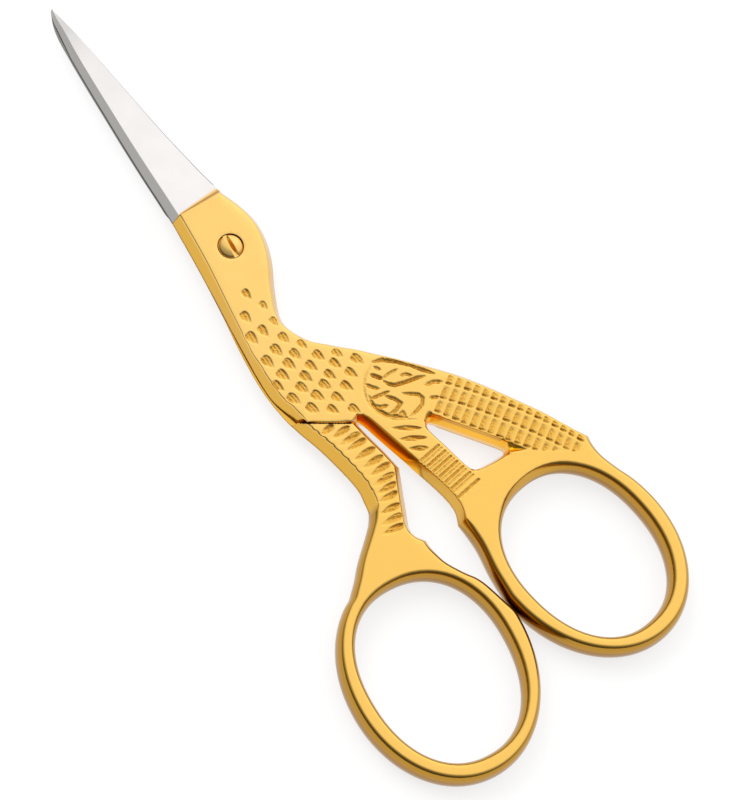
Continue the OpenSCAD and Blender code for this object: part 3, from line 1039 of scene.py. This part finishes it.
def make_blade(name, rings, turned):
    """A ground blade. A turned one is made upside down and then turned over."""
    t = np.linspace(0, 1, BLADE_STATIONS)
    root = np.arange(0, ROOT_LENGTH, ROOT_STEP)
    stations = SHOULDER + np.concatenate([root, ROOT_LENGTH + (TIP - SHOULDER - ROOT_LENGTH) * t])
    points, gold, side = [], [], []
    for y in stations:
        spine, ridge, edge, high, low = [float(v) for v in blade_lines(rings, np.array([y]))]
        spine += TIP_TRIM * math.sin(math.pi * max(0, (y - TIP_START) / (TIP - TIP_START)))
        if turned:
            root_fade = smoothstep(0, ROOT_FADE, y - SHOULDER)
            edge += EDGE_SPARE * smoothstep(TIP, TIP - EDGE_FADE, y) * root_fade
            spine += ROOT_TRIM * (1 - root_fade)
        for s in SPINE_SHARES:
            x = spine + s * (ridge - spine)
            bulge = SPINE_BULGE * s * (1 - s)
            points.append((x, y, FRONT_FLOOR + (s + bulge) * (high - FRONT_FLOOR)))
            gold.append(0)
            # Painted shade on the spine's side, and painted shadow at its foot
            side.append(2 - smoothstep(*SPINE_PAINTED_SHADOW, s) - smoothstep(*RIDGE_SHADE_END, s))
        for s in FACE_SHARES:
            x = np.array([ridge + s * (edge - ridge)])
            z = grind(rings, x, np.array([y]))
            z = np.minimum(z, low + (edge - x) * SIDE_RISE)
            points.append((x[0], y, z[0]))
            gold.append(plating(x, y)[0])
            side.append(0)
        points.append((edge, y, FRONT_FLOOR))
        gold.append(0)
        # Painted shade on the blade's edge
        side.append(EDGE_PAINTED_SHADES[turned])
    across = len(SPINE_SHARES) + len(FACE_SHARES) + 1
    faces = []
    for i in range(len(stations) - 1):
        for k in range(across):
            a = i * across + k
            b = i * across + (k + 1) % across
            faces.append((a, b, b + across, a + across))
    faces.append(tuple(range(across))[::-1])
    faces.append(tuple((len(stations) - 1) * across + k for k in range(across)))
    points = np.array(points)
    if turned:
        points = turn_over(points)
    return make_mesh(name, points, faces, {"gold": gold, "side": side})


# The pivot screw

# How much narrower the head is than its solid, which leaves a gap round it, painted dark with
# shade, and how far the head reaches down into its seat
SCREW_GAP = 0.04
HEAD_FOOT = 0.42
# Points round the head and the shank, spacing of the points on the head and along the slot,
# rings of points inside the head's edge, and rows of points beside the slot's edges
HEAD_POINTS = 120
SHANK_POINTS = 96
HEAD_SPACING = 0.06
SLOT_SPACING = 0.04
HEAD_RINGS = (0.03, 0.08, 0.14, 0.2)
SLOT_ROWS = (-0.2, -0.12, -0.03, -0.012, 0.012, 0.045)
# How far the edges of the head and of the slot are rounded off, and over what width
HEAD_EDGE = (0.1, 0.3)
SLOT_EDGE = (0.03, 0.05)
# The slot: its direction in degrees from +X, half its width, its depth, and its shade as a
# depth of carving
SLOT_ANGLE = 85
SLOT_HALF = 0.235
SLOT_DEPTH = 0.52
SLOT_DARK = 0.15
# Its sloping wall: its width, the share of the slot's depth at which it starts, and the
# painted shade on it, which fades out from this share of the wall on
SLOT_WALL = 0.28
WALL_START = 0.25
SLOT_WALL_PAINTED_SHADE = 0.1
WALL_FADE = 0.9
# The shank's rounded end: how much narrower it is at which height, and the rings on it
SHANK_END = ((0, 0.05), (0.015, 0.015), (0.05, 0))
END_RINGS = (0.45, 0.2)


def screw_head(rim, top):
    """Points and faces of the head, and how far each of its points is in the slot and on
    the slot's sloping wall."""
    dome = top - THICK
    sphere = (rim * rim + dome * dome) / (2 * dome)
    angle = math.radians(SLOT_ANGLE)
    axis = np.array([math.cos(angle), math.sin(angle)])
    side = aside(axis)
    border = circle_points(rim, HEAD_POINTS)
    points = [grid((-rim, -rim), (rim, rim), HEAD_SPACING)]
    points += [circle_points(rim - inward, HEAD_POINTS) for inward in HEAD_RINGS]
    line = np.arange(-rim, rim, SLOT_SPACING)[:, None] * axis
    for offset in SLOT_ROWS:
        row = (SLOT_HALF + offset) * side
        points += [line - row, line + row]
    points = np.concatenate(points)
    points = points[np.linalg.norm(points, axis=1) < rim - NEAR]
    places, faces, ring = triangulate(border, points, [border])
    away = np.linalg.norm(places, axis=1)
    sideways = places @ side
    across = np.abs(sideways)
    z = top - sphere + np.sqrt(sphere * sphere - away * away)
    z -= HEAD_EDGE[0] * smoothstep(HEAD_EDGE[1], 0, rim - away) ** 2
    z -= SLOT_EDGE[0] * smoothstep(SLOT_EDGE[1], 0, across - SLOT_HALF)
    in_slot = across < SLOT_HALF
    share = clamp((sideways + SLOT_HALF) / SLOT_WALL)
    wall = z - SLOT_DEPTH * between((WALL_START, 1), share)
    z = np.where(in_slot, np.maximum(wall, top - SLOT_DEPTH), z)
    n = len(places)
    m = len(border)
    foot = np.full(m, THICK - HEAD_FOOT)
    points = np.concatenate([np.column_stack([places, z]), np.column_stack([border, foot])])
    faces = [tuple(f) for f in faces]
    faces += [(ring[i], n + i, n + (i + 1) % m, ring[(i + 1) % m]) for i in range(m)]
    faces.append(tuple(n + i for i in range(m))[::-1])
    return points, faces, in_slot, in_slot * smoothstep(1, WALL_FADE, share)


def screw_shank(first):
    """Points and faces of the shank. Its points are counted from first."""
    corners = solid_arrays("pivot_screw").reshape(-1, 3)
    radius = np.linalg.norm(corners[corners[:, 2] < NEAR, :2], axis=1).max()
    profile = [(radius, THICK - HEAD_FOOT + SHANK_END[0][1])]
    profile += [(radius - less, height) for less, height in SHANK_END]
    profile += [(ring, 0) for ring in END_RINGS]
    n = SHANK_POINTS
    rings = [np.column_stack([circle_points(r, n), np.full(n, h)]) for r, h in profile]
    faces = []
    for a in range(first, first + n * (len(profile) - 1), n):
        for i in range(n):
            j = (i + 1) % n
            faces.append((a + i, a + j, a + n + j, a + n + i))
    for a in (first, first + (len(profile) - 1) * n):
        faces.append(tuple(a + i for i in range(n)))
    return np.concatenate(rings), faces


def make_screw():
    high = node_box("pivot_screw")[1]
    head, faces, in_slot, on_wall = screw_head(high[0] - SCREW_GAP, high[2])
    shank, more = screw_shank(len(head))
    points = np.concatenate([head, shank])
    cavity, side, bow = np.zeros((3, len(points)))
    # Painted shade: the head's foot in the darkest shade of the gap, and a little painted shade
    # on the slot's sloping wall
    cavity[:len(head)] = DARKEST
    cavity[:len(in_slot)] = SLOT_DARK * in_slot
    side[:len(on_wall)] = SLOT_WALL_PAINTED_SHADE * on_wall
    shades = {"cavity": cavity, "side": side, "bow": bow}
    return make_mesh("pivot_screw_slotted", points, faces + more, shades)


# Materials

def new_material(name):
    material = bpy.data.materials.new(name)
    material.use_nodes = True
    tree = material.node_tree
    return material, tree, tree.nodes["Principled BSDF"]


def add(tree, kind, values, **settings):
    """A new shader node. Its values are numbers, colours, vectors or other nodes' outputs."""
    node = tree.nodes.new("ShaderNode" + kind)
    for name, setting in settings.items():
        setattr(node, name, setting)
    for socket, value in values.items():
        if isinstance(value, bpy.types.NodeSocket):
            tree.links.new(value, node.inputs[socket])
        else:
            node.inputs[socket].default_value = value
    return node


def mix_colours(tree, factor, first, second):
    first, second = [(*c, 1) if isinstance(c, tuple) else c for c in (first, second)]
    values = {"Factor": factor, "A": first, "B": second}
    return add(tree, "Mix", values, data_type="RGBA").outputs["Result"]


def place_on_object(tree):
    return add(tree, "TexCoord", {}).outputs["Object"]


def along(tree):
    """Place along the object, in metres."""
    return add(tree, "SeparateXYZ", {"Vector": place_on_object(tree)}).outputs["Y"]


def noise(tree, scale, detail=2, rough=0.5, stretch=(1, 1, 1)):
    place = add(tree, "Mapping", {"Vector": place_on_object(tree), "Scale": stretch})
    values = {"Vector": place.outputs["Vector"], "Scale": scale, "Detail": detail}
    return add(tree, "TexNoise", {**values, "Roughness": rough}).outputs["Fac"]


def remap(tree, value, low, high, to_low, to_high):
    values = {"Value": value, "From Min": low, "From Max": high}
    values |= {"To Min": to_low, "To Max": to_high}
    return add(tree, "MapRange", values).outputs["Result"]


def attribute(tree, name):
    return add(tree, "Attribute", {}, attribute_name=name).outputs["Fac"]


def bump(tree, shader, height, distance, strength=1.0, before=None):
    values = {"Height": height, "Distance": distance * MM, "Strength": strength}
    if before is not None:
        values["Normal"] = before
    normal = add(tree, "Bump", values).outputs["Normal"]
    tree.links.new(normal, shader.inputs["Normal"])
    return normal


# The gold's face: clear, clouded, and with painted shade that makes it darker towards the bows
GOLD = (0.84, 0.55, 0.17)
GOLD_WARM = (0.8, 0.5, 0.14)
GOLD_LOW_PAINTED_SHADE = (0.82, 0.5, 0.115)
# Painted shade: the gold's sloping sides darker on the legs, darker still on the bows, and
# darkest at their foot
GOLD_SIDE_PAINTED_SHADE = (0.72, 0.41, 0.065)
BOW_SIDE_PAINTED_SHADE = (0.47, 0.25, 0.035)
GOLD_FOOT_PAINTED_SHADE = (0.3, 0.14, 0.02)
# A cut's floor, darker by its depth, partly the antique darkening of its hollow and partly
# painted shade;
# nearly black painted shade in blind gaps and the deepest notches; and painted light on walls
# that light each other
GOLD_CUT_PATINA_AND_SHADE = (0.68, 0.34, 0.04)
GOLD_GAP_PAINTED_SHADE = (0.14, 0.06, 0.01)
GOLD_WALL_PAINTED_LIGHT = (1.0, 0.52, 0.02)
# The steel: clear, clouded, with painted shade on its sides, painted shadow at the spine's foot,
# and where plating is left on it
STEEL = (0.67, 0.645, 0.635)
STEEL_DULL = (0.63, 0.61, 0.6)
STEEL_SIDE_PAINTED_SHADE = (0.38, 0.37, 0.355)
STEEL_PAINTED_SHADOW = (0.09, 0.085, 0.08)
STEEL_PLATED = (0.66, 0.4, 0.09)


def gold_material():
    material, tree, shader = new_material("gold_plate")
    shader.inputs["Metallic"].default_value = 1
    cloud = remap(tree, noise(tree, 260, 3), 0.3, 0.7, 0.0, 0.5)
    face = mix_colours(tree, cloud, GOLD, GOLD_WARM)
    # Painted shade: the face turns darker towards the bows
    face = mix_colours(tree, remap(tree, along(tree), -0.012, -0.032, 0, 1), face, GOLD_LOW_PAINTED_SHADE)
    # Painted shade down the sloping sides, deeper on the bows and darkest at their foot, and
    # painted light on walls that light each other
    slope = attribute(tree, "side")
    foot = remap(tree, slope, 0.86, 0.97, 0, 0.7)
    side = mix_colours(tree, attribute(tree, "bow"), GOLD_SIDE_PAINTED_SHADE, BOW_SIDE_PAINTED_SHADE)
    side = mix_colours(tree, foot, side, GOLD_FOOT_PAINTED_SHADE)
    side = mix_colours(tree, remap(tree, slope, 1.0, 1.5, 0, 1), side, GOLD_WALL_PAINTED_LIGHT)
    colour = mix_colours(tree, remap(tree, slope, 0.07, 0.2, 0, 1), face, side)
    # Cuts darker by their depth, partly the antique darkening of hollows and partly painted
    # shade, with nearly black painted shade in blind gaps
    cavity = attribute(tree, "cavity")
    colour = mix_colours(tree, remap(tree, cavity, 0.15, 0.9, 0.0, 0.9), colour, GOLD_CUT_PATINA_AND_SHADE)
    colour = mix_colours(tree, remap(tree, cavity, 1, DARKEST, 0, 1), colour, GOLD_GAP_PAINTED_SHADE)
    tree.links.new(colour, shader.inputs["Base Color"])
    tree.links.new(remap(tree, cavity, 0, 0.6, 0.16, 0.26), shader.inputs["Roughness"])
    fine = bump(tree, shader, noise(tree, 9000, 2), 0.004, 0.35)
    wavy = bump(tree, shader, noise(tree, 900, 2), 0.012, 0.3, fine)
    strength = remap(tree, cavity, 0.1, 0.7, 0, 0.75)
    bump(tree, shader, noise(tree, 3600, 2), 0.16, strength, wavy)
    return material


def steel_material():
    material, tree, shader = new_material("blade_steel")
    shader.inputs["Metallic"].default_value = 1
    cloud = remap(tree, noise(tree, 300, 3), 0.3, 0.7, 0.0, 1.0)
    steel = mix_colours(tree, cloud, STEEL, STEEL_DULL)
    side = attribute(tree, "side")
    # Painted shade on the spine's side and the edges, and painted shadow at the spine's foot
    steel = mix_colours(tree, remap(tree, side, 0, 1, 0, 1), steel, STEEL_SIDE_PAINTED_SHADE)
    steel = mix_colours(tree, remap(tree, side, 1, 2, 0, 1), steel, STEEL_PAINTED_SHADOW)
    colour = mix_colours(tree, attribute(tree, "gold"), steel, STEEL_PLATED)
    tree.links.new(colour, shader.inputs["Base Color"])
    lines = noise(tree, 1500, 2, 0.6, (1, 12, 1))
    tree.links.new(remap(tree, lines, 0.3, 0.7, 0.14, 0.26), shader.inputs["Roughness"])
    bump(tree, shader, lines, 0.002, 0.4)
    return material


def dress(obj, material, body, slot, *nodes):
    obj.data.materials.clear()
    obj.data.materials.append(material)
    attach(obj, body)
    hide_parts(*nodes)


# The stage

def most(tree, first, second):
    """The larger of two values."""
    return add(tree, "Math", {0: first, 1: second}, operation="MAXIMUM").outputs["Value"]


FLOOR_REACH = 0.7
FLOOR_COLOUR = (0.3, 0.3, 0.3, 1)
FLOOR_GLOW = 0.75


def make_floor():
    mesh = bpy.data.meshes.new("floor")
    corners = [(x, y, 0) for x, y in ((-1, -1), (1, -1), (1, 1), (-1, 1))]
    mesh.from_pydata(np.array(corners) * FLOOR_REACH, [], [(0, 1, 2, 3)])
    floor = place_object("floor", mesh)
    material, tree, shader = new_material("white_paper")
    shader.inputs["Base Color"].default_value = FLOOR_COLOUR
    shader.inputs["Roughness"].default_value = 0.9
    shader.inputs["Specular IOR Level"].default_value = 0.0
    shader.inputs["Emission Color"].default_value = (1, 1, 1, 1)
    rays = add(tree, "LightPath", {}).outputs
    seen = most(tree, rays["Is Camera Ray"], rays["Is Glossy Ray"])
    seen = most(tree, seen, rays["Is Transmission Ray"])
    tree.links.new(remap(tree, seen, 0, 1, 0, FLOOR_GLOW), shader.inputs["Emission Strength"])
    mesh.materials.append(material)


# Direction to the middle of the bright side of the room, and the brightness of the room by
# how far a direction turns from it: 1 is towards it, 0.5 at a right angle and 0 away from it
BRIGHT_SIDE = unit(np.array([0.7, 0.35, 0.62]))
ROOM = [(0, 0.12), (0.27, 0.15), (0.4, 0.23), (0.5, 0.37), (0.68, 0.6), (0.78, 1.0),
        (0.925, 1.22), (1, 1.5)]


def make_world():
    world = bpy.data.worlds.new("studio")
    bpy.context.scene.world = world
    world.use_nodes = True
    tree = world.node_tree
    background = tree.nodes["Background"]
    place = add(tree, "TexCoord", {}).outputs["Generated"]
    dot = add(tree, "VectorMath", {0: place, 1: BRIGHT_SIDE}, operation="DOT_PRODUCT")
    values = {0: dot.outputs["Value"], 1: 0.5, 2: 0.5}
    half = add(tree, "Math", values, operation="MULTIPLY_ADD").outputs["Value"]
    ramp = add(tree, "FloatCurve", {"Value": half})
    curve = ramp.mapping.curves[0]
    brightest = ROOM[-1][1]
    curve.points[0].location = (ROOM[0][0], ROOM[0][1] / brightest)
    curve.points[1].location = (ROOM[-1][0], 1)
    for place_on_curve, level in ROOM[1:-1]:
        curve.points.new(place_on_curve, level / brightest)
    ramp.mapping.update()
    values = {0: ramp.outputs["Value"], 1: brightest}
    scale = add(tree, "Math", values, operation="MULTIPLY")
    tree.links.new(scale.outputs["Value"], background.inputs["Strength"])
    background.inputs["Color"].default_value = (1, 1, 1, 1)


# A soft lamp that gives the shadow on the right of the object. The metal doesn't show it.
LAMP_FROM = (-0.13, 0.69, 0.71)
LAMP_STRENGTH = 0.35
LAMP_WIDTH = 40


def make_lamp():
    data = bpy.data.lights.new("soft_lamp", "SUN")
    data.energy = LAMP_STRENGTH * math.pi
    data.angle = math.radians(LAMP_WIDTH)
    lamp = place_object("soft_lamp", data)
    lamp.rotation_euler = Vector(LAMP_FROM).to_track_quat("Z", "Y").to_euler()
    lamp.visible_glossy = False


# The place on the resting face at which the camera looks, and how far away it stands. It is
# tilted from straight above, turned round +Z towards the lower left of the picture, and
# rolled about its own line of sight, all in degrees.
CAMERA_AIM = (3.804, -21.235, 0)
CAMERA_DISTANCE = 603.835
CAMERA_TILT = 20
CAMERA_TURN = -61.768
CAMERA_ROLL = 26.823
FOCAL_PIXELS = 5814
PICTURE_HEIGHT = 800
SENSOR = 36


def make_camera():
    data = bpy.data.cameras.new("camera")
    data.sensor_width = SENSOR
    data.lens = FOCAL_PIXELS / PICTURE_HEIGHT * SENSOR
    data.clip_start = 0.01
    data.clip_end = 10
    camera = place_object("camera", data)
    aim = Matrix.Translation(Vector(CAMERA_AIM) * MM)
    turn = Matrix.Rotation(math.radians(CAMERA_TURN), 4, "Z")
    tilt = Matrix.Rotation(math.radians(CAMERA_TILT), 4, "X")
    away = Matrix.Translation((0, 0, CAMERA_DISTANCE * MM))
    roll = Matrix.Rotation(math.radians(CAMERA_ROLL), 4, "Z")
    camera.matrix_world = aim @ turn @ tilt @ away @ roll
    bpy.context.scene.camera = camera


gold = gold_material()
steel = steel_material()
front_half = make_front_half()
back_half = make_back_half()
sharpen(front_half, 40, 0.15)
sharpen(back_half, 40, 0.15)
dress(front_half, gold, "front_half", "gold_plate", "front_handle")
dress(back_half, gold, "back_half", "gold_plate", "back_handle")
front_blade = make_blade("front_blade_ground", FRONT_RINGS, False)
back_blade = make_blade("back_blade_ground", BACK_RINGS, True)
sharpen(front_blade, 25)
sharpen(back_blade, 25)
dress(front_blade, steel, "front_half", "blade_steel", "front_blade")
dress(back_blade, steel, "back_half", "blade_steel", "back_blade")
screw = make_screw()
sharpen(screw, 40)
dress(screw, gold, "back_half", "screw", "pivot_screw")
make_floor()
make_world()
make_lamp()
make_camera()
bpy.context.scene.view_settings.view_transform = "Standard"
